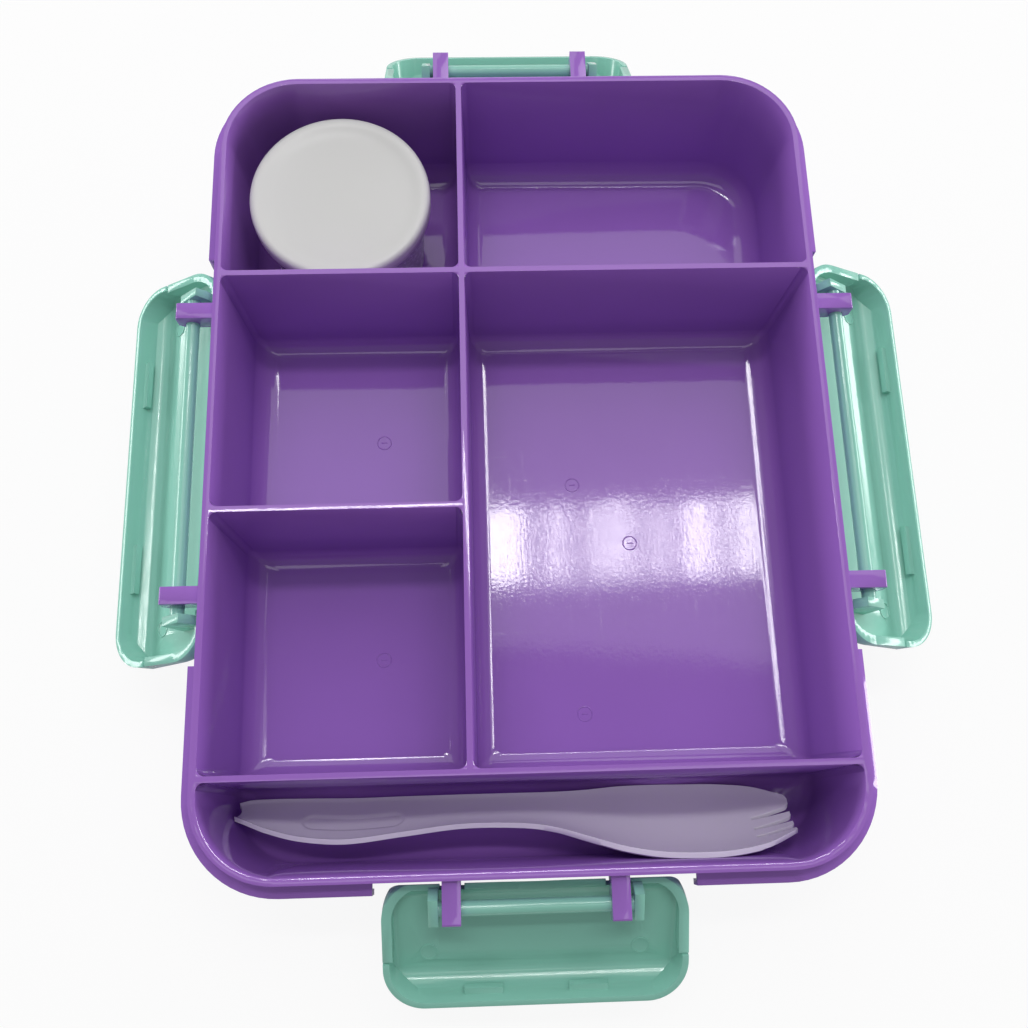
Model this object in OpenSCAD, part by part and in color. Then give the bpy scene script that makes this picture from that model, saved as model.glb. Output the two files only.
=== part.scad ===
// Bento lunch box: a moulded tub with fixed dividers, four hinged latches, a lidded dip cup
// and a spork. Millimetres, +Z up, origin at the middle of the flat base, back of the box at +Y.

/* [Box] */
// Outer width across the rim
box_w = 210; // [196:1:230]
// Outer length across the rim
box_l = 281; // [270:1:300]
// Height from the base to the rim
box_h = 58; // [52:1:70]
// Thickness of the outer wall
wall_t = 2.2; // [1.8:0.1:2.8]
// Thickness of the floor
floor_t = 2.5; // [1.8:0.1:3.5]
// Outer radius of the upright corners, seen from above
corner_r = 27; // [22:0.5:32]
// Lean of the outer wall, in degrees
wall_lean = 3; // [1:0.25:4]
// Fillet between the outer wall and the floor, inside
floor_fillet = 9; // [6:0.5:11]

/* [Dividers] */
// Thickness of a divider at its top edge
divider_t = 1.9; // [1.5:0.1:2.6]
// Lean of a divider's two faces, in degrees
divider_lean = 1.2; // [0.5:0.1:2]
// Fillet between a divider and the floor
divider_fillet = 7; // [4:0.5:9]
// Place of the long divider, across the box
long_divider_x = -19.2; // [-24:0.2:-14]
// Length of the two back bays, from the back of the rim to their divider
back_bay_l = 78.5; // [77.5:0.5:83]
// Length of the spork's bay, from the front of the rim to its divider
spork_bay_l = 31.6; // [31:0.1:34]
// Distance of the short left divider from the middle of its two bays
left_divider_shift = 0.2; // [-6:0.2:6]

/* [Corner ledges] */
// How far the ledge stands out of the rim's wall
ledge_out = 4; // [3:0.25:5]
// Depth of the ledge's top face below the rim
ledge_drop = 7.6; // [6:0.2:9]
// Height of the skirt that hangs from the ledge
skirt_h = 7; // [4:0.5:10]
// Thickness of the ledge and its skirt
ledge_t = 1.8; // [1.4:0.1:2.4]
// Room between the end of a latch and the next ledge
ledge_gap = 2.2; // [1.5:0.1:4]

/* [Latch arms] */
// Width of an arm along the side of the box
arm_w = 5.7; // [4.5:0.1:6.5]
// Depth of an arm's top face below the rim
arm_drop = 2.2; // [1.5:0.1:3]
// Material outside the rod, at the arm's tip
hook_wall = 2.37; // [1.8:0.01:2.6]
// How far the hook reaches below the rod's axis
hook_wrap = 1.9; // [1.5:0.1:2]
// Opening that the rod snaps through, as a part of the rod's width
mouth_share = 0.83; // [0.78:0.01:0.86]
// Distance from the middle of a short side to its arms
short_arm_x = 25.6; // [23:0.1:28]
// Distance from the middle of a long latch to its arms
long_arm_y = 50; // [46:0.5:54]

/* [Hinge rods] */
// Diameter of the moulded hinge rod
rod_d = 4.7; // [4.2:0.1:5]
// Running clearance between rod and hook, on the radius
rod_clearance = 0.05; // [0.03:0.01:0.1]
// Distance from the rim's outer face to the rod's axis
rod_out = 8.33; // [8.33:0.01:9.2]
// Depth of the rod's axis below the rim
rod_drop = 7.8; // [7.4:0.1:8.4]

/* [Latches] */
// Length of the two latches on the short sides
short_latch_l = 95.2; // [92:0.2:102]
// Length of the two latches on the long sides
long_latch_l = 140; // [136:1:146]
// Place of the long latches' middle, along the box
long_latch_y = -1; // [-4:0.5:4]
// Distance from the rod's axis to the free edge
latch_reach = 35; // [32:0.5:38]
// Distance from the rod's axis to the hinge edge
latch_heel = 6; // [5.6:0.1:6.2]
// Depth of the back skin below the rod's axis
latch_depth = 9.8; // [9.6:0.1:10.2]
// Height of the free edge above the rod's axis
latch_lip = 2.5; // [1:0.25:4]
// Depth of the hinge edge's rim below the rod's axis
heel_rim = 5; // [4.5:0.25:5.5]
// Skin thickness of a latch
latch_skin = 1.8; // [1.6:0.1:2]
// Radius of the heel that rolls past the box wall
heel_r = 8.5; // [8:0.1:8.8]
// Radius of the bend at the free edge
toe_r = 8; // [5:0.5:9]
// Radius of the two free corners, seen from inside
free_corner_r = 13; // [9:0.5:15]
// Radius of the two hinge corners
hinge_corner_r = 12.5; // [8:0.5:14]
// Radius of the bend at the two ends
end_bend_r = 5; // [3:0.5:7]
// Thickness of the end rims beside the hinge
end_rim_t = 3.1; // [2.4:0.1:3.6]
// Distance from the rod's axis to the step in the end rims
rim_step = 20; // [17:0.5:23]
// Width of the notch at the step
notch_w = 0.9; // [0.6:0.1:1.4]
// Depth of the notch at the step
notch_deep = 1.8; // [1:0.1:2.4]
// Thickness of the ears that carry the rod
ear_t = 3; // [2.6:0.1:4]
// Room between an arm and the ear beside it, on a short latch
short_ear_room = 1.3; // [1:0.1:3]
// Room between an arm and the ear beside it, on a long latch
long_ear_room = 3; // [2:0.1:4]
// Distance from the rod's axis to the foot of an ear
ear_reach = 9.5; // [7:0.1:11]
// Distance from the rod's axis to the end of an ear's flat top
ear_flat = 4.4; // [3.6:0.1:5.2]
// Skin over the rod at an ear
ear_skin = 0.4; // [0.3:0.1:0.8]
// Room at each side of an arm in its slot
slot_room = 1; // [0.6:0.1:1.4]
// Skin left under an arm's slot
slot_skin = 1.2; // [0.8:0.1:1.4]
// Depth of the arch in the hinge edge between the arms
arch_deep = 2.4; // [1:0.1:2.8]
// Length of a grip rib on a short latch
short_rib_l = 12.2; // [10:0.2:15]
// Length of a grip rib on a long latch
long_rib_l = 17.5; // [14:0.5:22]
// Distance from the middle of a short latch to its ribs
short_rib_x = 16.5; // [14:0.5:20]
// Distance from the middle of a long latch to its ribs
long_rib_x = 34.5; // [28:0.5:40]
// How far a rib stands out of the free wall
rib_out = 2.4; // [1.4:0.1:3]
// Thickness of a rib
rib_t = 2; // [1.4:0.1:2.6]
// Depth of a rib's top below the free edge
rib_drop = 3.4; // [2.6:0.1:5]
// Radius of the moulded rings near the ends
ring_r = 3; // [2:0.25:4]
// Width of a ring's bead
ring_w = 0.5; // [0.3:0.1:0.8]
// Height of a ring's bead
ring_h = 0.3; // [0.2:0.1:0.5]
// Distance of the rings from the ends
ring_inset = 14; // [12:0.5:18]
// Distance from the rod's axis to the rings
ring_reach = 22.4; // [18:0.2:23]
// Slope of the front latch at rest, in degrees below level
front_slope = 34; // [20:1:50]
// Slope of the back latch at rest
back_slope = 47; // [20:1:50]
// Slope of the left latch at rest
left_slope = 44; // [20:1:50]
// Slope of the right latch at rest
right_slope = 39; // [20:1:50]

/* [Dip cup] */
// Outer diameter of the cup's lid
lid_d = 66; // [60:0.5:68]
// Height of the cup under its lid
cup_h = 44; // [36:1:46]
// Outer diameter of the cup at its mouth
cup_mouth_d = 62; // [56:0.5:62.5]
// Outer diameter of the cup's base
cup_base_d = 56; // [48:0.5:58]
// Thickness of the cup's wall
cup_wall = 1.4; // [1:0.1:2]
// Outer height of the lid
lid_h = 6.5; // [5:0.25:8]
// Thickness of the lid's top and skirt
lid_t = 1.4; // [1:0.1:1.6]
// Depth of the dish in the lid's top
lid_dish = 1.5; // [0.8:0.1:2]
// Width of the raised border round the dish
lid_border = 3; // [2:0.25:5]
// Room between the lid's skirt and the cup's bead
lid_room = 0.3; // [0.2:0.05:0.4]
// Distance from the rim's left side to the cup's axis
cup_from_side = 41.8; // [40:0.2:45]
// Distance from the back of the rim to the cup's axis
cup_from_back = 43; // [40.5:0.5:43.5]

/* [Spork] */
// Room that the spork leaves along its bay, both ends together
spork_room = 22; // [20:0.5:32]
// Width of the bowl
bowl_w = 40; // [36:0.5:40.5]
// Depth of the bowl
bowl_deep = 7; // [5:0.25:8]
// Width of the handle
handle_w = 23; // [20:0.5:24]
// Width of the neck
neck_w = 17; // [14:0.5:18]
// Rise of the neck above the bowl's edge
neck_rise = 4.5; // [3:0.5:6]
// Rise of the handle's end above the bowl's edge
end_rise = 4.6; // [3:0.2:6]
// Thickness of the moulding
spork_t = 2; // [1.6:0.1:2.4]
// How far the back draws in at the edges, as a part of the thickness
edge_taper = 0.8; // [0.5:0.05:1]
// Length of the tines
tine_l = 13; // [8:0.5:18]
// Distance from the middle of one tine to the next
tine_step = 5; // [4.5:0.1:5.4]
// Width of a gap between two tines, at the tips
tine_gap = 2.4; // [1.8:0.1:3]
// Width of the same gap at its root
tine_root = 1; // [0.6:0.1:1.4]
// Length of the panel sunk into the handle
panel_l = 34; // [28:0.5:38]
// Width of the panel
panel_w = 7; // [5:0.5:9]
// Depth of the panel
panel_deep = 0.6; // [0.3:0.1:0.9]
// Roll of the spork in its bay, in degrees
spork_roll = 55; // [50:1:60]
// Pitch of the spork, handle end down, in degrees
spork_pitch = 2.6; // [1:0.1:3]
// Turn of the spork, handle toward the divider, in degrees
spork_turn = 1.2; // [0:0.1:1.5]
// Height of the bowl's low edge above the floor
spork_rest = 2.4; // [2.2:0.1:4]
// Clearance between the spork and the wall it leans on
spork_gap = 0.3; // [0.2:0.05:0.6]
// Distance from the rim's right side to the middle of the bowl
bowl_from_side = 51; // [49:0.5:60]

/* [Hidden] */
$fn = 64;
cut = 1;

rim_in_x = box_w / 2 - wall_t;
rim_in_y = box_l / 2 - wall_t;
tub_fillet = floor_fillet + wall_t;
half_divider = divider_t / 2;
fillet_sink = 0.05;
front_divider_y = spork_bay_l - box_l / 2;
back_divider_y = box_l / 2 - back_bay_l;
left_divider_y = (front_divider_y + back_divider_y) / 2 + left_divider_shift;
arc_steps = 10;

rod_r = rod_d / 2;
bore_r = rod_r + rod_clearance;
rod_z = box_h - rod_drop;
arm_top = rod_drop - arm_drop;
arm_tip = bore_r + hook_wall;
tip_round = 0.8;
mouth_half = mouth_share * rod_r;

ledge_z = box_h - ledge_drop;
short_opening = short_latch_l + 2 * ledge_gap;
long_opening = long_latch_l + 2 * ledge_gap;

heel_u = heel_r - latch_heel;
heel_v = heel_r - latch_depth;
toe_u = latch_reach - toe_r;
toe_v = toe_r - latch_depth;
rim_fall = (latch_lip + heel_rim) / (latch_reach + latch_heel);
free_rim_t = latch_skin + 0.2;
inner_floor = latch_skin - latch_depth;
ear_top = rod_r + ear_skin;
slot_floor = slot_skin - latch_depth;

cup_x = cup_from_side - box_w / 2;
cup_y = box_l / 2 - cup_from_back;
cup_z = floor_t;
lid_z = cup_z + cup_h;
lid_skirt = lid_h - lid_t - lid_dish;
bead_r = lid_d / 2 - lid_t - lid_room;

spork_l = box_w - spork_room;
bowl_share = 0.816;
bowl_half = bowl_w / 2;
panel_share = 0.21;
panel_r = panel_w / 2 - 0.1;
spork_top = bowl_deep + spork_t + neck_rise;
spork_steps = 64;
spork_sides = 12;

// ---- tub forms ----

// Points of an arc about centre, from angle a0 to a1
function arc(centre, r, a0, a1) =
    [for (i = [0:arc_steps]) let (a = a0 + (a1 - a0) * i / arc_steps)
        centre + r * [cos(a), sin(a)]];

// Half of a tub's side outline: reach is the distance from the axis to the wall at the rim
module tub_half(reach, top, low, fillet, lean) {
    centre_z = low + fillet;
    centre_x = reach - (box_h - centre_z) * tan(lean) - fillet / cos(lean);
    polygon(concat(
        [[0, low]],
        arc([centre_x, centre_z], fillet, -90, -lean),
        [[reach + (top - box_h) * tan(lean), top], [0, top]]
    ));
}

// Round-cornered tub: a block, and round it four straight walls and four turned quarters
module tub(size, corner, top, low, fillet, lean) {
    flat = [size.x - 2 * corner, size.y - 2 * corner];
    translate([0, 0, low]) linear_extrude(top - low) square(flat, center = true);
    for (turn = [0:90:270]) {
        crosswise = turn % 180 != 0;
        length = crosswise ? flat.y : flat.x;
        out = (crosswise ? flat.x : flat.y) / 2;
        rotate([0, 0, turn]) {
            translate([0, out, 0])
                along_x(length) tub_half(corner, top, low, fillet, lean);
            translate([length / 2, out, 0])
                rotate_extrude(angle = 90) tub_half(corner, top, low, fillet, lean);
        }
    }
}

// Rectangle with round corners, centred
module round_plate(size, r) {
    square([size.x - 2 * r, size.y], center = true);
    square([size.x, size.y - 2 * r], center = true);
    for (sx = [-1, 1], sy = [-1, 1])
        translate([sx * (size.x / 2 - r), sy * (size.y / 2 - r)]) circle(r);
}

// Side outline of a divider: thin at the rim, leaning faces, a fillet down to the floor
module divider_outline() {
    centre_z = floor_t + divider_fillet - fillet_sink;
    centre_x = half_divider + (box_h - centre_z) * tan(divider_lean)
        + divider_fillet / cos(divider_lean);
    side = concat(
        [[-centre_x, floor_t / 2]],
        arc([-centre_x, centre_z], divider_fillet, -90, -divider_lean),
        [[-half_divider, box_h]]
    );
    polygon(concat(side, [for (i = [len(side) - 1:-1:0]) [-side[i].x, side[i].y]]));
}

// The four dividers, ending inside the walls that they meet
module dividers() {
    left_l = box_w / 2 + long_divider_x;
    long_l = box_l / 2 - front_divider_y;
    intersection() {
        tub([box_w - wall_t, box_l - wall_t], corner_r - wall_t / 2, box_h, floor_t / 2,
            floor_fillet + wall_t / 2, wall_lean);
        union() {
            translate([0, back_divider_y, 0]) along_x(box_w) divider_outline();
            translate([0, front_divider_y, 0]) along_x(box_w) divider_outline();
            translate([long_divider_x - left_l / 2, left_divider_y, 0])
                along_x(left_l) divider_outline();
            translate([long_divider_x, front_divider_y + long_l / 2, 0])
                rotate([0, 0, 90]) along_x(long_l) divider_outline();
        }
    }
}

// Ledge with a hanging skirt at the four corners, left out where the latches hang
module corner_ledges() {
    outer = [box_w + 2 * ledge_out, box_l + 2 * ledge_out];
    inner = [outer.x - 2 * ledge_t, outer.y - 2 * ledge_t];
    outer_r = corner_r + ledge_out;
    difference() {
        translate([0, 0, ledge_z - skirt_h])
            linear_extrude(skirt_h) round_plate(outer, outer_r);
        translate([0, 0, ledge_z - skirt_h - cut])
            linear_extrude(skirt_h + cut - ledge_t) round_plate(inner, outer_r - ledge_t);
        translate([0, 0, ledge_z - skirt_h / 2])
            cube([short_opening, box_l * 2, skirt_h + 2 * cut], center = true);
        translate([0, long_latch_y, ledge_z - skirt_h / 2])
            cube([box_w * 2, long_opening, skirt_h + 2 * cut], center = true);
    }
}

// ---- places of the four hinge axes: X along the side, Y outward, rod at the origin ----

module at_back() { translate([0, box_l / 2 + rod_out, rod_z]) children(); }
module at_front() { rotate([0, 0, 180]) at_back() children(); }
module at_left() {
    rotate([0, 0, 90]) translate([long_latch_y, box_w / 2 + rod_out, rod_z]) children();
}
module at_right() {
    rotate([0, 0, -90]) translate([-long_latch_y, box_w / 2 + rod_out, rod_z]) children();
}

// A side outline pushed along X: the outline's x runs outward and its y runs up
module along_x(length) {
    rotate([90, 0, 90]) linear_extrude(length, center = true) children();
}

// Arm with a hook that the rod snaps into from below
module arm() {
    along_x(arm_w) difference() {
        union() {
            polygon([
                [-rod_out - wall_t / 2, arm_top],
                [arm_tip - tip_round, arm_top],
                [arm_tip, arm_top - tip_round],
                [arm_tip, 0],
                [mouth_half + tip_round, -hook_wrap],
                [-rod_out - wall_t / 2, -hook_wrap]
            ]);
            translate([arm_tip - tip_round, arm_top - tip_round]) circle(tip_round);
        }
        circle(bore_r);
        translate([-mouth_half, -hook_wrap - cut]) square([2 * mouth_half, hook_wrap + cut]);
    }
}

module arm_pair(half_gap) {
    for (s = [-1, 1]) translate([s * half_gap, 0, 0]) arm();
}

// ---- box ----

module box() {
    color("mediumpurple") {
        difference() {
            union() {
                tub([box_w, box_l], corner_r, box_h, 0, tub_fillet, wall_lean);
                corner_ledges();
            }
            tub([2 * rim_in_x, 2 * rim_in_y], corner_r - wall_t, box_h + cut, floor_t,
                floor_fillet, wall_lean);
        }
        dividers();
        at_front() arm_pair(short_arm_x);
        at_back() arm_pair(short_arm_x);
        at_left() arm_pair(long_arm_y);
        at_right() arm_pair(long_arm_y);
    }
}

// ---- latches: X along the rod, Y toward the free edge, Z toward the inner side ----

// Side outline, shrunk by inset
module latch_side(inset) {
    top = latch_lip + cut;
    translate([heel_u, heel_v]) circle(heel_r - inset);
    translate([toe_u, toe_v]) circle(toe_r - inset);
    polygon([
        [heel_u, inset - latch_depth],
        [toe_u, inset - latch_depth],
        [latch_reach - inset, toe_v],
        [latch_reach - inset, top],
        [inset - latch_heel, top],
        [inset - latch_heel, heel_v]
    ]);
}

// Everything above the sloping rim
module above_rim() {
    near = -latch_heel - cut;
    far = latch_reach + cut;
    polygon([
        [near, -heel_rim - cut * rim_fall],
        [far, latch_lip + cut * rim_fall],
        [far, latch_lip + latch_depth],
        [near, latch_lip + latch_depth]
    ]);
}

// Plan outline with two large free corners and two small hinge corners
module latch_plan(length, inset_end, inset) {
    half = length / 2 - inset_end;
    low = inset - latch_heel;
    high = latch_reach - inset;
    free_r = free_corner_r - inset;
    hinge_r = hinge_corner_r - inset;
    translate([-half + free_r, low + hinge_r])
        square([2 * (half - free_r), high - low - hinge_r]);
    translate([-half + hinge_r, low]) square([2 * (half - hinge_r), hinge_r]);
    translate([-half, low + hinge_r]) square([2 * half, high - low - hinge_r - free_r]);
    for (s = [-1, 1]) {
        translate([s * (half - free_r), high - free_r]) circle(free_r);
        translate([s * (half - hinge_r), low + hinge_r]) circle(hinge_r);
    }
}

// End outline with a bend at both ends
module latch_end(length, inset_end, inset) {
    half = length / 2 - inset_end;
    bend = end_bend_r - inset;
    low = inset - latch_depth;
    translate([-half, low + bend]) square([2 * half, latch_depth + latch_lip + cut - bend]);
    translate([-half + bend, low]) square([2 * (half - bend), bend]);
    for (s = [-1, 1]) translate([s * (half - bend), low + bend]) circle(bend);
}

// Latch form as the common part of its three outlines
module latch_form(length, inset_end, inset) {
    intersection() {
        along_x(length) latch_side(inset);
        translate([0, 0, -latch_depth - cut])
            linear_extrude(latch_depth + latch_lip + 3 * cut)
                latch_plan(length, inset_end, inset);
        translate([0, latch_reach + cut, 0]) rotate([90, 0, 0])
            linear_extrude(latch_reach + latch_heel + 2 * cut)
                latch_end(length, inset_end, inset);
    }
}

// Hollow seen from inside: thicker end walls from the hinge edge to the step
module latch_hollow(length) {
    latch_plan(length, end_rim_t, latch_skin);
    translate([-length / 2 - cut, rim_step])
        square([length + 2 * cut, latch_reach + cut - rim_step]);
}

// Gusset that ties the rod to the latch's floor, with a flat top
module ear() {
    along_x(ear_t) intersection() {
        polygon([
            [-latch_heel, -latch_depth],
            [-latch_heel, ear_top],
            [ear_flat, ear_top],
            [ear_reach, -latch_depth]
        ]);
        latch_side(latch_skin / 2);
    }
}

// One latch: length, distance to the arms, room at the ears, rib length and distance to the ribs
module latch(length, arm_at, ear_room, rib_l, rib_at) {
    arch_half = arm_at - arm_w;
    arch_r = (arch_half * arch_half + arch_deep * arch_deep) / (2 * arch_deep);
    slot_w = arm_w + 2 * slot_room;
    ear_at = arm_at + (arm_w + ear_t) / 2 + ear_room;
    difference() {
        latch_form(length, 0, 0);
        intersection() {
            latch_form(length, free_rim_t, latch_skin);
            translate([0, 0, -latch_depth])
                linear_extrude(latch_depth + latch_lip + 2 * cut) latch_hollow(length);
        }
        along_x(length) above_rim();
        for (s = [-1, 1]) {
            translate([s * arm_at - slot_w / 2, -latch_heel - cut, slot_floor])
                cube([slot_w, latch_heel + cut - mouth_half, latch_depth]);
            translate([s * length / 2, rim_step, rim_step * rim_fall - heel_rim])
                cube([4 * end_rim_t, notch_w, 2 * notch_deep], center = true);
        }
        translate([0, 0, arch_r - heel_rim - arch_deep])
            rotate([90, 0, 0])
                cylinder(h = latch_heel + cut, r = arch_r, $fn = 128);
    }
    for (s = [-1, 1]) {
        translate([s * ear_at, 0, 0]) ear();
        translate([s * rib_at - rib_l / 2, latch_reach - latch_skin - rib_out,
                   latch_lip - rib_drop - rib_t])
            cube([rib_l, rib_out + latch_skin / 2, rib_t]);
        translate([s * (length / 2 - ring_inset), ring_reach, inner_floor - latch_skin / 2])
            difference() {
                cylinder(h = latch_skin / 2 + ring_h, r = ring_r);
                translate([0, 0, -cut]) cylinder(h = latch_skin + 2 * cut, r = ring_r - ring_w);
            }
    }
    rotate([0, 90, 0]) cylinder(h = 2 * ear_at, r = rod_r, center = true);
}

module short_latch(slope) {
    rotate([-slope, 0, 0])
        latch(short_latch_l, short_arm_x, short_ear_room, short_rib_l, short_rib_x);
}

module long_latch(slope) {
    rotate([-slope, 0, 0])
        latch(long_latch_l, long_arm_y, long_ear_room, long_rib_l, long_rib_x);
}

module left_latch() { color("mediumaquamarine") at_left() long_latch(left_slope); }
module right_latch() { color("mediumaquamarine") at_right() long_latch(right_slope); }
module front_latch() { color("mediumaquamarine") at_front() short_latch(front_slope); }
module back_latch() { color("mediumaquamarine") at_back() short_latch(back_slope); }

// ---- dip cup ----

module dip_cup() {
    mouth_r = cup_mouth_d / 2;
    base_r = cup_base_d / 2;
    foot_round = 2;
    bead_h = 1.6;
    bead_z = cup_h - lid_skirt / 2;
    color("thistle", 0.7) translate([cup_x, cup_y, cup_z]) rotate_extrude() difference() {
        union() {
            polygon([[0, 0], [base_r - foot_round, 0], [base_r, foot_round],
                     [mouth_r - cup_wall, cup_h - lid_h], [mouth_r, cup_h - lid_skirt - cut],
                     [mouth_r, cup_h], [0, cup_h]]);
            translate([base_r - foot_round, foot_round]) circle(foot_round);
            polygon([[0, bead_z - bead_h / 2], [mouth_r, bead_z - bead_h / 2], [bead_r, bead_z],
                     [mouth_r, bead_z + bead_h / 2], [0, bead_z + bead_h / 2]]);
        }
        polygon([[-cut, cup_wall], [base_r - foot_round - cup_wall, cup_wall],
                 [base_r - cup_wall, foot_round + cup_wall],
                 [mouth_r - 2 * cup_wall, cup_h - lid_h], [mouth_r - cup_wall, cup_h - lid_skirt],
                 [mouth_r - cup_wall, cup_h + cut], [-cut, cup_h + cut]]);
        translate([-2 * base_r, -cut]) square([2 * base_r, cup_h + 3 * cut]);
    }
}

module dip_cup_lid() {
    outer_r = lid_d / 2;
    edge_round = 1.2;
    border_in = outer_r - lid_border;
    color("whitesmoke") translate([cup_x, cup_y, lid_z]) rotate_extrude() difference() {
        union() {
            polygon([[0, -lid_skirt], [outer_r, -lid_skirt], [outer_r, lid_h - lid_skirt - edge_round],
                     [outer_r - edge_round, lid_h - lid_skirt], [0, lid_h - lid_skirt]]);
            translate([outer_r - edge_round, lid_h - lid_skirt - edge_round]) circle(edge_round);
        }
        translate([-cut, -lid_skirt - cut]) square([outer_r - lid_t + cut, lid_skirt + cut]);
        polygon([[-cut, lid_t], [border_in - lid_dish, lid_t], [border_in, lid_h - lid_skirt],
                 [border_in, lid_h], [-cut, lid_h]]);
        translate([-2 * cut, -lid_h]) square([2 * cut, 3 * lid_h]);
    }
}

// ---- spork: X from the handle's end to the tips, bowl opening up ----

// Stations along the length: [share of the length, half width, height of the edges, depth]
spork_stations = [
    [0.000, handle_w * 0.17, end_rise, 0.5],
    [0.021, handle_w * 0.26, end_rise * 0.96, 0.7],
    [0.061, handle_w * 0.38, end_rise * 0.65, 0.9],
    [0.122, handle_w * 0.49, end_rise * 0.30, 1.2],
    [0.204, handle_w * 0.53, end_rise * 0.17, 1.4],
    [0.306, handle_w * 0.46, neck_rise * 0.55, 1.4],
    [0.408, neck_w * 0.52, neck_rise * 0.93, 1.6],
    [0.510, neck_w * 0.53, neck_rise, 1.8],
    [0.571, neck_w * 0.61, neck_rise * 0.86, bowl_deep * 0.37],
    [0.633, bowl_w * 0.345, neck_rise * 0.51, bowl_deep * 0.60],
    [0.694, bowl_w * 0.44, neck_rise * 0.23, bowl_deep * 0.80],
    [0.755, bowl_w * 0.49, neck_rise * 0.04, bowl_deep * 0.96],
    [0.816, bowl_w * 0.50, 0, bowl_deep],
    [0.878, bowl_w * 0.485, neck_rise * 0.07, bowl_deep * 0.93],
    [0.939, bowl_w * 0.415, neck_rise * 0.24, bowl_deep * 0.70],
    [0.980, bowl_w * 0.30, neck_rise * 0.38, bowl_deep * 0.44],
    [1.000, bowl_w * 0.235, neck_rise * 0.48, bowl_deep * 0.32]
];
last_station = len(spork_stations) - 1;

// Slope of one column at a station
function station_slope(i, column) =
    let (a = spork_stations[max(i - 1, 0)], b = spork_stations[min(i + 1, last_station)])
    (b[column] - a[column]) / (b[0] - a[0]);

// Smooth curve through one column of the stations, at a share s of the length
function station(s, column, i = 1) =
    s > spork_stations[i][0] && i < last_station
        ? station(s, column, i + 1)
        : let (a = spork_stations[i - 1], b = spork_stations[i], span = b[0] - a[0],
               t = (s - a[0]) / span, u = 1 - t)
          a[column] * u * u * (1 + 2 * t) + b[column] * t * t * (1 + 2 * u)
              + span * u * t * (station_slope(i - 1, column) * u - station_slope(i, column) * t);

// Ring of points round the section at share s: inner face first, then the back
function spork_ring(s) =
    let (half = station(s, 1), edge = station(s, 2), deep = station(s, 3),
         back_half = half - spork_t * edge_taper)
    concat(
        [for (j = [0:spork_sides]) let (y = 2 * j / spork_sides - 1)
            [s * spork_l, y * half, edge - deep * (1 - y * y)]],
        [for (j = [spork_sides:-1:0]) let (y = 2 * j / spork_sides - 1)
            [s * spork_l, y * back_half, edge - deep * (1 - y * y) - spork_t]]
    );

module spork_body() {
    ring_n = 2 * (spork_sides + 1);
    points = [for (i = [0:spork_steps]) each spork_ring(i / spork_steps)];
    sides = [for (i = [0:spork_steps - 1], j = [0:ring_n - 1])
        let (k = (j + 1) % ring_n, a = i * ring_n, b = (i + 1) * ring_n)
        each [[a + j, a + k, b + k], [a + j, b + k, b + j]]];
    start = [for (j = [0:spork_sides - 1]) [ring_n - 1 - j, ring_n - 2 - j, j + 1, j]];
    finish = [for (q = start) [for (i = [3:-1:0]) spork_steps * ring_n + q[i]]];
    polyhedron(points, concat(sides, start, finish), convexity = 6);
}

module spork_in_place() {
    low_z = floor_t + spork_rest;
    near_z = low_z + bowl_w * sin(spork_roll);
    wall_y = rim_in_y - (box_h - near_z + spork_t) * tan(wall_lean);
    back_y = spork_t * (sin(spork_roll) - edge_taper * cos(spork_roll));
    translate([box_w / 2 - bowl_from_side,
               spork_gap + back_y + bowl_half * cos(spork_roll) - wall_y,
               low_z + bowl_half * sin(spork_roll)])
        rotate([0, -spork_pitch, -spork_turn])
            rotate([-spork_roll, 0, 0])
                translate([-bowl_share * spork_l, 0, 0]) children();
}

module spork() {
    color("lavender") spork_in_place() difference() {
        spork_body();
        for (i = [-1:1])
            translate([spork_l + cut, i * tine_step, -spork_top])
                linear_extrude(2 * spork_top)
                    polygon([[0, tine_gap / 2], [-tine_l, tine_root / 2],
                             [-tine_l, -tine_root / 2], [0, -tine_gap / 2]]);
        intersection() {
            translate([0, 0, spork_t - panel_deep]) spork_body();
            translate([spork_l * panel_share, 0, -spork_top])
                linear_extrude(2 * spork_top) round_plate([panel_l, panel_w], panel_r);
        }
    }
}

box();
left_latch();
right_latch();
front_latch();
back_latch();
dip_cup();
dip_cup_lid();
spork();
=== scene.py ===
"""Looks of a bento lunch box: glossy moulded plastics, a studio floor and soft light."""

import math

import bmesh
import bpy
from mathutils import Matrix, Vector


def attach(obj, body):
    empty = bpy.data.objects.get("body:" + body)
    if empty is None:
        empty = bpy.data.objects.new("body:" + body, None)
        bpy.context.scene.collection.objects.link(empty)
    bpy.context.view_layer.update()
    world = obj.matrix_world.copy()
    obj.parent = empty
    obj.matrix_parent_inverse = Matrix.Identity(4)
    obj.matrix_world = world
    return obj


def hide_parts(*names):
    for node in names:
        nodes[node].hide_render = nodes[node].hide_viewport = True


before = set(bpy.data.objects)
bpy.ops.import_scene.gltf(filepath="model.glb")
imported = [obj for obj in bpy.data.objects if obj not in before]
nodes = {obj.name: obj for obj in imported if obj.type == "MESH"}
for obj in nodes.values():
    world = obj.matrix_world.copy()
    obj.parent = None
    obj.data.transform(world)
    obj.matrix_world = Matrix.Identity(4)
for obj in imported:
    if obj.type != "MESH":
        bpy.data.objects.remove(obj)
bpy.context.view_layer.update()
MM = 0.001

# Plastics: colours are linear
PURPLE = (0.31, 0.135, 0.52, 1)
MINT = (0.25, 0.56, 0.46, 1)
LID_WHITE = (0.645, 0.645, 0.63, 1)
CUP_TINT = (0.72, 0.66, 0.80, 1)
PALE_LAVENDER = (0.85, 0.80, 0.90, 1)

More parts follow.
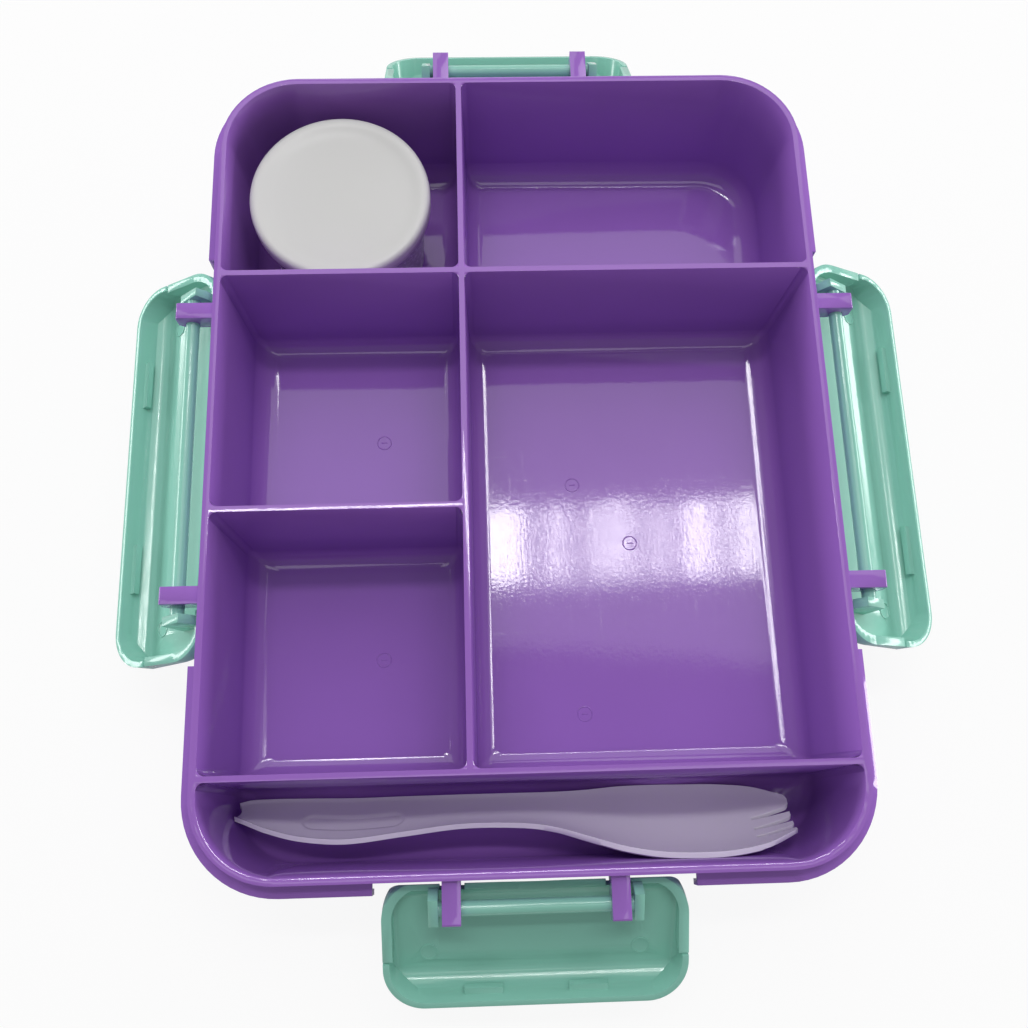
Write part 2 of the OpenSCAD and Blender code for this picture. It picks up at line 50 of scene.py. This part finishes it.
# Rounded edges left by the moulds
BOX_EDGE = 0.35 * MM
LATCH_EDGE = 0.3 * MM
SPORK_EDGE = 0.3 * MM
SHARP_ANGLE = math.radians(28)
SPORK_SHARP_ANGLE = math.radians(55)
# Deepest waviness of a moulded face
RELIEF = 0.005 * MM

# Ejector rings on the floors of the bays: X and Y of each ring, then sizes in mm
MARKS = [(-50.9, 18.0), (-50.7, -66.0), (21.0, -0.6), (21.9, -87.4), (41.9, -24.0)]
MARK_R = 2.6
MARK_WIRE = 0.22
MARK_BAR = (2.4, 0.5, 0.25)

# Inner faces of the box, at the rim, in mm
RIM_Z = 58.0
FLOOR_Z = 2.5
WALL_X = 102.8
WALL_Y = 138.3
LONG_DIVIDER_X = -19.2
BACK_DIVIDER_Y = 62.0
LEFT_DIVIDER_Y = -23.25
FRONT_DIVIDER_Y = -108.9
HALF_DIVIDER = 0.95
# Lean and floor fillet of the outer wall and of a divider's face
WALL = (math.radians(3), 9.0)
DIVIDER = (math.radians(1.2), 7.0)
# Upright fillets where dividers meet: radius, spread at the very top, and heights of the rows
JUNCTION_R = 2.3
JUNCTION_FLARE = 0.35
JUNCTION_STEPS = 10
JUNCTION_HEIGHTS = [
    RIM_Z - 0.02, RIM_Z - 0.35, 50, 40, 30, 20, 13, 11, 9.5, 8, 6.5, 5, 4, 3.2, 2.7, 2.52,
]

# Spork, in mm
SPORK_L = 188.0
SPORK_T = 2.0
BOWL_W = 40.0
BOWL_DEEP = 7.0
HANDLE_W = 23.0
NECK_W = 17.0
NECK_RISE = 4.5
END_RISE = 4.6
BOWL_SHARE = 0.816
# Stations along the spork: share of the length, half width, height of the edges, depth
STATIONS = [
    (0.000, HANDLE_W * 0.17, END_RISE, 0.5),
    (0.021, HANDLE_W * 0.26, END_RISE * 0.96, 0.7),
    (0.061, HANDLE_W * 0.38, END_RISE * 0.65, 0.9),
    (0.122, HANDLE_W * 0.49, END_RISE * 0.30, 1.2),
    (0.204, HANDLE_W * 0.53, END_RISE * 0.17, 1.4),
    (0.306, HANDLE_W * 0.46, NECK_RISE * 0.55, 1.4),
    (0.408, NECK_W * 0.52, NECK_RISE * 0.93, 1.6),
    (0.510, NECK_W * 0.53, NECK_RISE, 1.8),
    (0.571, NECK_W * 0.61, NECK_RISE * 0.86, BOWL_DEEP * 0.37),
    (0.633, BOWL_W * 0.345, NECK_RISE * 0.51, BOWL_DEEP * 0.60),
    (0.694, BOWL_W * 0.44, NECK_RISE * 0.23, BOWL_DEEP * 0.80),
    (0.755, BOWL_W * 0.49, NECK_RISE * 0.04, BOWL_DEEP * 0.96),
    (0.816, BOWL_W * 0.50, 0, BOWL_DEEP),
    (0.878, BOWL_W * 0.485, NECK_RISE * 0.07, BOWL_DEEP * 0.93),
    (0.939, BOWL_W * 0.415, NECK_RISE * 0.24, BOWL_DEEP * 0.70),
    (0.980, BOWL_W * 0.30, NECK_RISE * 0.38, BOWL_DEEP * 0.44),
    (1.000, BOWL_W * 0.235, NECK_RISE * 0.48, BOWL_DEEP * 0.32),
]
RINGS = 300
# Tines and the gaps between them
TINE_L = 13.0
TINE_ROOT_AT = 1 - TINE_L / SPORK_L
TINE_STEP = 5.0
TINE_GAP = 2.4
TINE_ROOT = 0.9
TIP_ROUND = 1.6
TINE_COLUMNS = 8
GAP_COLUMNS = {TINE_COLUMNS, 2 * TINE_COLUMNS + 1, 3 * TINE_COLUMNS + 2}
# Sunk panel in the handle: place along the length, then length, width and depth
PANEL_SHARE = 0.21
PANEL = (34.0, 7.0, 0.6)
PANEL_SLOPE = 0.9
# Notch in the handle's end: depth, and share of the length over which it fades
END_NOTCH = 1.6
NOTCH_SHARE = 0.05
# Bead along the long edges, and how far each edge leans in
LIP_W = 1.2
LIP_H = 0.45
NEAR_DRAFT = 0.075
BACK_DRAFT = 0.045
# Place in its bay: bowl's middle, then roll, pitch and turn in degrees
SPORK_AT = (54.0, -124.638, 21.283)
SPORK_TURNS = (-55, -2.6, -1.2)

# Dip cup and its lid: radius and height in mm, from the bottom's middle round to the top's
CUP_AT = (-63.2, 97.5)
LATHE_STEPS = 128
CUP_OUTLINE = [
    (0, 2.52), (25.6, 2.52), (27.0, 3.0), (27.9, 4.2), (28.3, 6), (28.9, 16), (29.5, 26),
    (30.1, 36), (30.6, 41.0), (31.0, 41.6), (31.0, 43.2), (31.25, 44.4), (31.0, 45.6), (31.0, 46.2),
    (30.7, 46.48), (29.9, 46.48), (29.6, 46.2), (29.4, 41), (28.8, 36), (27.6, 16), (27.0, 7),
    (26.2, 4.9), (24.6, 3.9), (0, 3.9),
]
LID_OUTLINE = [
    (0, 46.52), (31.3, 46.52), (31.6, 46.2), (31.6, 43.3), (31.9, 42.92), (32.6, 42.92),
    (32.97, 43.3), (32.99, 45.5), (32.97, 47.4), (32.75, 48.35), (32.25, 48.98), (31.5, 49.32),
    (30.6, 49.38), (29.7, 49.26), (28.7, 49.0), (27.4, 48.62), (25.8, 48.24), (23.6, 47.94),
    (20.5, 47.76), (16, 47.72), (10, 47.82), (4, 47.92), (0, 47.94),
]

# Barred window high above the box, in metres: middle and width of each bright bar
WINDOW_BARS = [
    (-0.56, 0.20), (-0.40, 0.07), (-0.29, 0.10), (-0.16, 0.09), (-0.05, 0.06), (0.04, 0.05),
    (0.15, 0.13), (0.27, 0.03), (0.335, 0.022), (0.38, 0.03), (0.44, 0.022), (0.51, 0.05),
    (0.59, 0.045), (0.66, 0.03), (0.76, 0.12),
]
WINDOW_Y = 0.60
WINDOW_Z = 2.5
WINDOW_TALL = 0.155
# Watts per square metre of a bar
WINDOW_GLOW = 66.0
# Other soft lamps: name, place, aim, size in metres, watts
LAMPS = [
    ("window_veil", (0.1, WINDOW_Y, WINDOW_Z + 0.02), (0.1, WINDOW_Y, 0),
     (1.5, WINDOW_TALL + 0.03), 1.6),
    ("ceiling", (0.1, 0.80, 1.5), (0, 0, 0), (1.8, 1.2), 10.0),
    ("front_fill", (0.0, -0.25, 1.5), (0, -0.1, 0), (1.2, 0.3), 1.9),
    ("left_panel", (-1.25, 0.2, 0.15), (0, 0, 0.04), (1.0, 0.26), 7.5),
    ("right_panel", (1.25, 0.2, 0.15), (0, 0, 0.04), (1.0, 0.26), 8.5),
    ("back_panel", (0.0, 1.35, 0.5), (0, 0, 0.04), (1.0, 0.5), 3.0),
]
AIR_GLOW = 0.30
FLOOR_REACH = 6.0
FLOOR_DROP = 0.02 * MM
FLOOR_WHITE = 0.9

# Camera: lens and frame in pixels, sensor in mm
LENS_PX = 1080
FRAME_PX = 1028
SENSOR = 36.0
CAMERA_AT = (-0.01427, -0.12222, 0.3985)
CAMERA_TURN = (0.2731, -0.0238, -0.0291)


# ---- shader helpers ----

def link(tree, source, target):
    tree.links.new(source, target)


def group_sockets(tree, inputs, outputs):
    for name, kind, value in inputs:
        socket = tree.interface.new_socket(name=name, in_out="INPUT", socket_type=kind)
        socket.default_value = value
    for name, kind in outputs:
        tree.interface.new_socket(name=name, in_out="OUTPUT", socket_type=kind)
    return tree.nodes.new("NodeGroupInput"), tree.nodes.new("NodeGroupOutput")


def math_node(tree, operation, a, b=None, clamp=False):
    node = tree.nodes.new("ShaderNodeMath")
    node.operation = operation
    node.use_clamp = clamp
    for slot, value in zip(node.inputs, (a, b)):
        if value is None:
            continue
        if isinstance(value, (int, float)):
            slot.default_value = value
        else:
            link(tree, value, slot)
    return node.outputs[0]


def noise(tree, coords, scale, detail=2.0, stretch=(1, 1, 1), roughness=0.5):
    mapping = tree.nodes.new("ShaderNodeMapping")
    mapping.inputs["Scale"].default_value = stretch
    link(tree, coords, mapping.inputs["Vector"])
    node = tree.nodes.new("ShaderNodeTexNoise")
    node.inputs["Scale"].default_value = scale
    node.inputs["Detail"].default_value = detail
    node.inputs["Roughness"].default_value = roughness
    link(tree, mapping.outputs[0], node.inputs["Vector"])
    return node.outputs["Fac"]


def band(tree, value, low, high):
    """0 below low, 1 above high."""
    node = tree.nodes.new("ShaderNodeMapRange")
    node.inputs["From Min"].default_value = low
    node.inputs["From Max"].default_value = high
    link(tree, value, node.inputs["Value"])
    return node.outputs["Result"]


def make_moulded_skin():
    """Tone, gloss and waviness of an injection-moulded face."""
    tree = bpy.data.node_groups.new("moulded_skin", "ShaderNodeTree")
    entry, leave = group_sockets(
        tree,
        [("Base Color", "NodeSocketColor", (0.5, 0.5, 0.5, 1)),
         ("Tone Spread", "NodeSocketFloat", 0.1),
         ("Gloss Low", "NodeSocketFloat", 0.12),
         ("Gloss High", "NodeSocketFloat", 0.25),
         ("Scratches", "NodeSocketFloat", 0.5)],
        [("Color", "NodeSocketColor"), ("Roughness", "NodeSocketFloat"),
         ("Height", "NodeSocketFloat")])
    coords = tree.nodes.new("ShaderNodeTexCoord").outputs["Object"]
    # Scales are per metre: clouds of tone, flow ripples, long swells, fine grain, hair scratches
    cloud = noise(tree, coords, 22, 3)
    ripple = noise(tree, coords, 1300, 2, (1, 0.16, 1))
    swell = noise(tree, coords, 45, 1)
    grain = noise(tree, coords, 750, 3)
    hair_x = noise(tree, coords, 260, 3, (0.12, 3.4, 1), 0.6)
    hair_y = noise(tree, coords, 240, 3, (3.8, 0.1, 1), 0.6)
    hairs = math_node(tree, "MAXIMUM", band(tree, hair_x, 0.66, 0.72),
                      band(tree, hair_y, 0.665, 0.725))
    hairs = math_node(tree, "MULTIPLY", hairs, entry.outputs["Scratches"])

    tone = math_node(tree, "SUBTRACT", cloud, 0.5)
    tone = math_node(tree, "MULTIPLY", tone, entry.outputs["Tone Spread"])
    tone = math_node(tree, "ADD", tone, 1.0)
    shade = tree.nodes.new("ShaderNodeVectorMath")
    shade.operation = "SCALE"
    link(tree, entry.outputs["Base Color"], shade.inputs[0])
    link(tree, tone, shade.inputs["Scale"])
    link(tree, shade.outputs[0], leave.inputs["Color"])

    mix = tree.nodes.new("ShaderNodeMix")
    link(tree, band(tree, ripple, 0.35, 0.7), mix.inputs["Factor"])
    link(tree, entry.outputs["Gloss Low"], mix.inputs["A"])
    link(tree, entry.outputs["Gloss High"], mix.inputs["B"])
    rough = math_node(tree, "MULTIPLY", hairs, 0.22)
    rough = math_node(tree, "ADD", mix.outputs["Result"], rough, clamp=True)
    link(tree, rough, leave.inputs["Roughness"])

    wave = math_node(tree, "MULTIPLY", swell, 6.0)
    height = math_node(tree, "ADD", ripple, wave)
    fine = math_node(tree, "MULTIPLY", grain, 1.8)
    height = math_node(tree, "ADD", height, fine)
    dents = math_node(tree, "MULTIPLY", hairs, 0.12)
    height = math_node(tree, "SUBTRACT", height, dents)
    link(tree, height, leave.inputs["Height"])
    return tree


def new_material(name):
    material = bpy.data.materials.new(name)
    material.use_nodes = True
    return material, material.node_tree, material.node_tree.nodes["Principled BSDF"]


def plastic(name, colour, skin, spread, gloss, scratches, bump=1.0, **shader):
    """Moulded plastic: gloss is the low and high roughness, shader sets its own sockets."""
    material, tree, surface = new_material(name)
    group = tree.nodes.new("ShaderNodeGroup")
    group.node_tree = skin
    group.inputs["Base Color"].default_value = colour
    group.inputs["Tone Spread"].default_value = spread
    group.inputs["Gloss Low"].default_value = gloss[0]
    group.inputs["Gloss High"].default_value = gloss[1]
    group.inputs["Scratches"].default_value = scratches
    link(tree, group.outputs["Color"], surface.inputs["Base Color"])
    link(tree, group.outputs["Roughness"], surface.inputs["Roughness"])
    relief = tree.nodes.new("ShaderNodeBump")
    relief.inputs["Strength"].default_value = bump
    relief.inputs["Distance"].default_value = RELIEF
    link(tree, group.outputs["Height"], relief.inputs["Height"])
    link(tree, relief.outputs["Normal"], surface.inputs["Normal"])
    for socket, value in shader.items():
        surface.inputs[socket.replace("_", " ")].default_value = value
    return material


# ---- geometry helpers ----

def wear_material(obj, material):
    if not obj.material_slots:
        obj.data.materials.append(material)
    for slot in obj.material_slots:
        slot.material = material


def round_moulding(obj, width):
    """Joins the facets of a moulding and rounds its sharp edges."""
    for face in obj.data.polygons:
        face.use_smooth = True
    weld = obj.modifiers.new("join_facets", "WELD")
    weld.merge_threshold = 0.002 * MM
    bevel = obj.modifiers.new("round_edges", "BEVEL")
    bevel.width = width
    bevel.segments = 2
    bevel.limit_method = "ANGLE"
    bevel.angle_limit = SHARP_ANGLE
    bevel.harden_normals = True


def mesh_piece(name, build, material, body):
    """A new mesh made by build(bmesh), riding on a body."""
    mesh = bpy.data.meshes.new(name)
    shape = bmesh.new()
    build(shape)
    bmesh.ops.recalc_face_normals(shape, faces=shape.faces)
    shape.to_mesh(mesh)
    shape.free()
    for face in mesh.polygons:
        face.use_smooth = True
    piece = bpy.data.objects.new(name, mesh)
    bpy.context.scene.collection.objects.link(piece)
    mesh.materials.append(material)
    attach(piece, body)
    return piece


def add_ring(shape, centre, radius, wire, around=40, section=8):
    """A low round bead lying on a floor."""
    rows = []
    for i in range(around):
        turn = 2 * math.pi * i / around
        row = []
        for k in range(section):
            lift = 2 * math.pi * k / section
            reach = radius + wire * math.cos(lift)
            row.append(shape.verts.new((centre[0] + reach * math.cos(turn),
                                        centre[1] + reach * math.sin(turn),
                                        centre[2] + wire * math.sin(lift))))
        rows.append(row)
    for i, row in enumerate(rows):
        after = rows[(i + 1) % around]
        for k in range(section):
            m = (k + 1) % section
            shape.faces.new((row[k], after[k], after[m], row[m]))


def add_bar(shape, centre, size):
    """A small pillowed bar."""
    made = bmesh.ops.create_cube(shape, size=1)
    for vert in made["verts"]:
        shrink = 0.8 if vert.co.z > 0 else 1.0
        vert.co = Vector((centre[0] + vert.co.x * size[0] * shrink,
                          centre[1] + vert.co.y * size[1] * shrink,
                          centre[2] + vert.co.z * size[2]))


def mould_marks(material):
    """Ejector rings on the floors of the bays."""
    for number, (x, y) in enumerate(MARKS, 1):
        centre = (x * MM, y * MM, FLOOR_Z * MM)

        def build(shape, centre=centre):
            add_ring(shape, centre, MARK_R * MM, MARK_WIRE * MM)
            add_bar(shape, centre, [side * MM for side in MARK_BAR])

        mesh_piece(f"mould_mark_{number}", build, material, "box")


def build_lathe(outline):
    """A closed moulding turned about the cup's axis."""
    def build(shape):
        rings = []
        for radius, z in outline:
            if radius == 0:
                rings.append([shape.verts.new((CUP_AT[0] * MM, CUP_AT[1] * MM, z * MM))])
                continue
            rings.append([shape.verts.new((
                (CUP_AT[0] + radius * math.cos(2 * math.pi * k / LATHE_STEPS)) * MM,
                (CUP_AT[1] + radius * math.sin(2 * math.pi * k / LATHE_STEPS)) * MM,
                z * MM)) for k in range(LATHE_STEPS)])
        for a, b in zip(rings, rings[1:]):
            for k in range(LATHE_STEPS):
                m = (k + 1) % LATHE_STEPS
                if len(a) == 1:
                    shape.faces.new((a[0], b[k], b[m]))
                elif len(b) == 1:
                    shape.faces.new((a[k], a[m], b[0]))
                else:
                    shape.faces.new((a[k], a[m], b[m], b[k]))
    return build


def dip_cup(cup_material, lid_material):
    """The thin cup and its snap lid with a soft dish, both turned."""
    cup = mesh_piece("cup_moulding", build_lathe(CUP_OUTLINE), cup_material,
                     "dip_cup")
    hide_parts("dip_cup")
    lid = mesh_piece("cup_lid_moulding", build_lathe(LID_OUTLINE), lid_material,
                     "dip_cup_lid")
    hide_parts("dip_cup_lid")


# ---- fillets where the dividers meet ----

def face_inset(kind, z):
    """How far an inner face stands in from its place at the rim, at height z."""
    lean, fillet = kind
    centre_z = FLOOR_Z + fillet
    centre = (RIM_Z - centre_z) * math.tan(lean) + fillet / math.cos(lean)
    if z > centre_z - fillet * math.sin(lean):
        return (RIM_Z - z) * math.tan(lean)
    return centre - math.sqrt(max(fillet ** 2 - (z - centre_z) ** 2, 0))


def bay_corners():
    """Upright corners of the bays: X, Y, way into the bay, and the kind of both faces."""
    bays = [
        (-WALL_X, LONG_DIVIDER_X - HALF_DIVIDER, BACK_DIVIDER_Y + HALF_DIVIDER, WALL_Y),
        (LONG_DIVIDER_X + HALF_DIVIDER, WALL_X, BACK_DIVIDER_Y + HALF_DIVIDER, WALL_Y),
        (-WALL_X, LONG_DIVIDER_X - HALF_DIVIDER,
         LEFT_DIVIDER_Y + HALF_DIVIDER, BACK_DIVIDER_Y - HALF_DIVIDER),
        (-WALL_X, LONG_DIVIDER_X - HALF_DIVIDER,
         FRONT_DIVIDER_Y + HALF_DIVIDER, LEFT_DIVIDER_Y - HALF_DIVIDER),
        (LONG_DIVIDER_X + HALF_DIVIDER, WALL_X,
         FRONT_DIVIDER_Y + HALF_DIVIDER, BACK_DIVIDER_Y - HALF_DIVIDER),
        (-WALL_X, WALL_X, -WALL_Y, FRONT_DIVIDER_Y - HALF_DIVIDER),
    ]
    for left, right, front, back in bays:
        for x, way_x in ((left, 1), (right, -1)):
            for y, way_y in ((front, 1), (back, -1)):
                kind_x = WALL if abs(x) == WALL_X else DIVIDER
                kind_y = WALL if abs(y) == WALL_Y else DIVIDER
                # The box's own round corners need no fillet
                if kind_x is DIVIDER or kind_y is DIVIDER:
                    yield x, y, way_x, way_y, kind_x, kind_y


def junction_fillets(material):
    steps = JUNCTION_STEPS

    def build(shape):
        for x, y, sx, sy, kind_x, kind_y in bay_corners():
            rows = []
            for z in JUNCTION_HEIGHTS:
                px = x + sx * face_inset(kind_x, z)
                py = y + sy * face_inset(kind_y, z)
                reach = JUNCTION_R + (JUNCTION_FLARE if z > RIM_Z - 0.1 else 0)
                row = []
                for k in range(steps + 1):
                    turn = math.pi / 2 * k / steps
                    row.append(shape.verts.new((
                        (px + sx * reach * (1 - math.sin(turn))) * MM,
                        (py + sy * reach * (1 - math.cos(turn))) * MM, z * MM)))
                rows.append(row)
            for upper, lower in zip(rows, rows[1:]):
                for k in range(steps):
                    shape.faces.new((upper[k], upper[k + 1], lower[k + 1], lower[k]))
            corner = shape.verts.new((x * MM, y * MM, (RIM_Z - 0.02) * MM))
            for k in range(steps):
                shape.faces.new((corner, rows[0][k], rows[0][k + 1]))

    mesh_piece("junction_fillets", build, material, "box")


# ---- spork ----

def station(s, column):
    """Smooth curve through one column of the stations."""
    last = len(STATIONS) - 1
    i = 1
    while s > STATIONS[i][0] and i < last:
        i += 1

    def slope(k):
        a, b = STATIONS[max(k - 1, 0)], STATIONS[min(k + 1, last)]
        return (b[column] - a[column]) / (b[0] - a[0])

    a, b = STATIONS[i - 1], STATIONS[i]
    span = b[0] - a[0]
    t = (s - a[0]) / span
    u = 1 - t
    return (a[column] * u * u * (1 + 2 * t) + b[column] * t * t * (1 + 2 * u)
            + span * u * t * (slope(i - 1) * u - slope(i) * t))


def spork_columns(s):
    """Places across the spork, with the gaps between the tines as columns of their own."""
    root = TINE_ROOT_AT
    half = station(s, 1)
    root_half = station(root, 1)
    past = max(0.0, (s - root) / (1 - root))
    gap = (TINE_ROOT + (TINE_GAP - TINE_ROOT) * past) / 2
    scale = 1.0 if s >= root else half / root_half
    borders = [-half]
    for k in (-1, 0, 1):
        borders += [(k * TINE_STEP - gap) * scale, (k * TINE_STEP + gap) * scale]
    borders.append(half)
    tip = max(0.0, (s - 1 + TIP_ROUND / SPORK_L) / (TIP_ROUND / SPORK_L))
    narrow = max(0.3, math.sqrt(max(0.0, 1 - tip * tip)))
    places = []
    for k in range(7):
        a, b = borders[k], borders[k + 1]
        is_tine = k % 2 == 0
        if is_tine and s > root:
            middle = (a + b) / 2
            a, b = middle + (a - middle) * narrow, middle + (b - middle) * narrow
        count = TINE_COLUMNS if is_tine else 1
        places += [a + (b - a) * n / count for n in range(count)]
    places.append(borders[-1] if s <= root else b)
    return places


def lip(y, half):
    """Dip of the face inside the soft bead that runs along the two long edges."""
    t = min(1.0, max(0.0, 1 - (half - y) / LIP_W))
    return LIP_H * t * t * (3 - 2 * t) - LIP_H


def panel_dip(x, y):
    """Depth of the sunk panel in the handle."""
    length, width, deep = PANEL
    out_x = max(0.0, abs(x - PANEL_SHARE * SPORK_L) - (length - width) / 2)
    out = math.hypot(out_x, y) - width / 2
    t = min(1.0, max(0.0, 0.5 - out / PANEL_SLOPE))
    return deep * t * t * (3 - 2 * t)


def build_spork(shape):
    """Top and back faces ring by ring, closed wherever a neighbour is missing."""
    turn_x, turn_y, turn_z = [math.radians(v) for v in SPORK_TURNS]
    place = (Matrix.Translation(Vector(SPORK_AT)) @ Matrix.Rotation(turn_z, 4, "Z")
             @ Matrix.Rotation(turn_y, 4, "Y") @ Matrix.Rotation(turn_x, 4, "X")
             @ Matrix.Translation(Vector((-BOWL_SHARE * SPORK_L, 0, 0))))
    top, low = [], []
    for i in range(RINGS + 1):
        s = 0.001 + 0.998 * i / RINGS
        half, edge, deep = (station(s, c) for c in (1, 2, 3))
        notch = END_NOTCH * max(0.0, 1 - s / NOTCH_SHARE) ** 2
        thick = SPORK_T * (0.92 if s < TINE_ROOT_AT else 0.8)
        top_row, low_row = [], []
        for y in spork_columns(s):
            f = max(-1.0, min(1.0, y / half))
            x = s * SPORK_L + notch * (1 - f * f)
            z = edge - deep * (1 - f * f) + lip(abs(f) * half, half)
            back_y = y * (1 - BACK_DRAFT * abs(f))
            top_y = y * (1 - NEAR_DRAFT * f * f) if y < 0 else y
            top_row.append(shape.verts.new(
                place @ Vector((x, top_y, z - panel_dip(x, y))) * MM))
            low_row.append(shape.verts.new(place @ Vector((x, back_y, z - thick)) * MM))
        top.append(top_row)
        low.append(low_row)
    columns = len(top[0]) - 1

    def solid(i, j):
        if not (0 <= i < RINGS and 0 <= j < columns):
            return False
        s = 0.001 + 0.998 * (i + 0.5) / RINGS
        return not (j in GAP_COLUMNS and s > TINE_ROOT_AT)

    for i in range(RINGS):
        for j in range(columns):
            if not solid(i, j):
                continue
            shape.faces.new((top[i][j], top[i + 1][j], top[i + 1][j + 1], top[i][j + 1]))
            shape.faces.new((low[i][j], low[i][j + 1], low[i + 1][j + 1], low[i + 1][j]))
            for di, dj, a, b in ((-1, 0, (i, j + 1), (i, j)), (1, 0, (i + 1, j), (i + 1, j + 1)),
                                 (0, -1, (i, j), (i + 1, j)), (0, 1, (i + 1, j + 1), (i, j + 1))):
                if solid(i + di, j + dj):
                    continue
                shape.faces.new((top[b[0]][b[1]], top[a[0]][a[1]],
                                 low[a[0]][a[1]], low[b[0]][b[1]]))


def spork(material):
    piece = mesh_piece("spork_moulding", build_spork, material, "spork")
    bevel = piece.modifiers.new("round_rim", "BEVEL")
    bevel.width = SPORK_EDGE
    bevel.segments = 3
    bevel.limit_method = "ANGLE"
    bevel.angle_limit = SPORK_SHARP_ANGLE
    bevel.harden_normals = True
    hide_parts("spork")


# ---- studio ----

def studio_floor():
    """Pale floor that looks white and still takes the box's shadow."""
    mesh = bpy.data.meshes.new("studio_floor")
    reach = FLOOR_REACH
    mesh.from_pydata([(-reach, -reach, 0), (reach, -reach, 0), (reach, reach, 0),
                      (-reach, reach, 0)], [], [(0, 1, 2, 3)])
    floor = bpy.data.objects.new("studio_floor", mesh)
    bpy.context.scene.collection.objects.link(floor)
    floor.location.z = -FLOOR_DROP
    material, tree, surface = new_material("white_floor")
    surface.inputs["Base Color"].default_value = (0.82, 0.82, 0.82, 1)
    surface.inputs["Roughness"].default_value = 0.9
    glow = tree.nodes.new("ShaderNodeEmission")
    glow.inputs["Color"].default_value = (1, 1, 1, 1)
    rays = tree.nodes.new("ShaderNodeLightPath")
    seen = math_node(tree, "MULTIPLY", rays.outputs["Is Camera Ray"], FLOOR_WHITE)
    blend = tree.nodes.new("ShaderNodeMixShader")
    link(tree, seen, blend.inputs[0])
    link(tree, surface.outputs[0], blend.inputs[1])
    link(tree, glow.outputs[0], blend.inputs[2])
    link(tree, blend.outputs[0], tree.nodes["Material Output"].inputs["Surface"])
    mesh.materials.append(material)


def soft_light(name, at, aim, size, power):
    lamp = bpy.data.lights.new(name, "AREA")
    lamp.shape = "RECTANGLE"
    lamp.size, lamp.size_y = size
    lamp.energy = power
    holder = bpy.data.objects.new(name, lamp)
    bpy.context.scene.collection.objects.link(holder)
    holder.location = at
    way = Vector(aim) - Vector(at)
    if way.xy.length > 1e-6:
        holder.rotation_euler = way.to_track_quat("-Z", "Y").to_euler()


def studio_light():
    """White backdrop, dim air, a barred window and soft lamps."""
    world = bpy.data.worlds.new("studio_air")
    bpy.context.scene.world = world
    world.use_nodes = True
    tree = world.node_tree
    air = tree.nodes["Background"]
    air.inputs["Color"].default_value = (1, 1, 1, 1)
    air.inputs["Strength"].default_value = AIR_GLOW
    white = tree.nodes.new("ShaderNodeBackground")
    white.inputs["Color"].default_value = (1, 1, 1, 1)
    white.inputs["Strength"].default_value = 1.0
    rays = tree.nodes.new("ShaderNodeLightPath")
    blend = tree.nodes.new("ShaderNodeMixShader")
    link(tree, rays.outputs["Is Camera Ray"], blend.inputs[0])
    link(tree, air.outputs[0], blend.inputs[1])
    link(tree, white.outputs[0], blend.inputs[2])
    link(tree, blend.outputs[0], tree.nodes["World Output"].inputs["Surface"])
    for x, width in WINDOW_BARS:
        at = (x, WINDOW_Y, WINDOW_Z)
        soft_light("window_bar", at, (x, WINDOW_Y, 0), (width, WINDOW_TALL),
                   WINDOW_GLOW * width * WINDOW_TALL)
    for lamp in LAMPS:
        soft_light(*lamp)


def camera():
    data = bpy.data.cameras.new("view_camera")
    data.sensor_fit = "HORIZONTAL"
    data.sensor_width = SENSOR
    data.lens = LENS_PX / FRAME_PX * SENSOR
    data.clip_start = 0.01
    data.clip_end = 20
    holder = bpy.data.objects.new("view_camera", data)
    bpy.context.scene.collection.objects.link(holder)
    holder.location = CAMERA_AT
    holder.rotation_euler = CAMERA_TURN
    bpy.context.scene.camera = holder


def main():
    bpy.context.scene.view_settings.view_transform = "Standard"
    camera()
    studio_light()
    studio_floor()
    skin = make_moulded_skin()
    purple = plastic("gloss_purple", PURPLE, skin, 0.10, (0.03, 0.07), 0.4, IOR=1.49)
    mint = plastic("gloss_mint", MINT, skin, 0.06, (0.10, 0.2), 0.2, 0.5, IOR=1.49)
    lid_white = plastic("satin_white", LID_WHITE, skin, 0.05, (0.3, 0.36), 0.2, 0.3, IOR=1.5)
    cup_clear = plastic("milky_clear", CUP_TINT, skin, 0.04, (0.2, 0.3), 0.1, 0.1, IOR=1.3,
                        Transmission_Weight=0.35)
    lavender = plastic("gloss_lavender", PALE_LAVENDER, skin, 0.05, (0.14, 0.24), 0.3, 0.25,
                       IOR=1.49)

    wear_material(nodes["box"], purple)
    round_moulding(nodes["box"], BOX_EDGE)
    for name in ("left_latch", "right_latch", "front_latch", "back_latch"):
        wear_material(nodes[name], mint)
        round_moulding(nodes[name], LATCH_EDGE)
    dip_cup(cup_clear, lid_white)
    spork(lavender)
    junction_fillets(purple)
    mould_marks(purple)


main()
